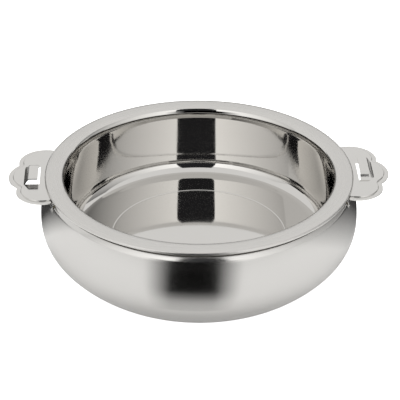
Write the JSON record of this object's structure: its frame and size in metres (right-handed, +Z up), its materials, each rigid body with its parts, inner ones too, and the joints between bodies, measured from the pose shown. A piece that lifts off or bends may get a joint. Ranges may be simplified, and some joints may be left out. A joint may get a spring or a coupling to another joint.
{
  "type": "insulated soup kettle",
  "caption": "Wide double-walled steel serving bowl with a flat satin rim, a bellied shell and a lobed, lug-locking handle on each side; shown without its lid.",
  "frame": {"origin": "centre of the foot, on the surface that the kettle stands on", "axes": "+Z up out of the bowl, +X along the right handle, -Y towards the front"},
  "size_m": [0.3656, 0.3064, 0.1038],
  "materials": {
    "polished_steel": "mirror-polished stainless steel, with a satin band round the rim",
    "satin_steel": "fine satin-polished stainless steel",
    "handle_steel": "stamped and bright-polished stainless steel",
    "foam": "rigid cream polyurethane foam",
    "sealant": "grey food-grade silicone sealant",
    "plug_plastic": "dark moulded plastic"
  },
  "bodies": {
    "root": {"inner_bowl": "polished_steel", "outer_shell": "satin_steel", "insulation_foam": "foam", "rim_seal": "sealant", "fill_plug": "plug_plastic", "vent_plug": "plug_plastic", "base_cover": "satin_steel", "right_handle": "handle_steel", "left_handle": "handle_steel"}
  },
  "joints": []
}
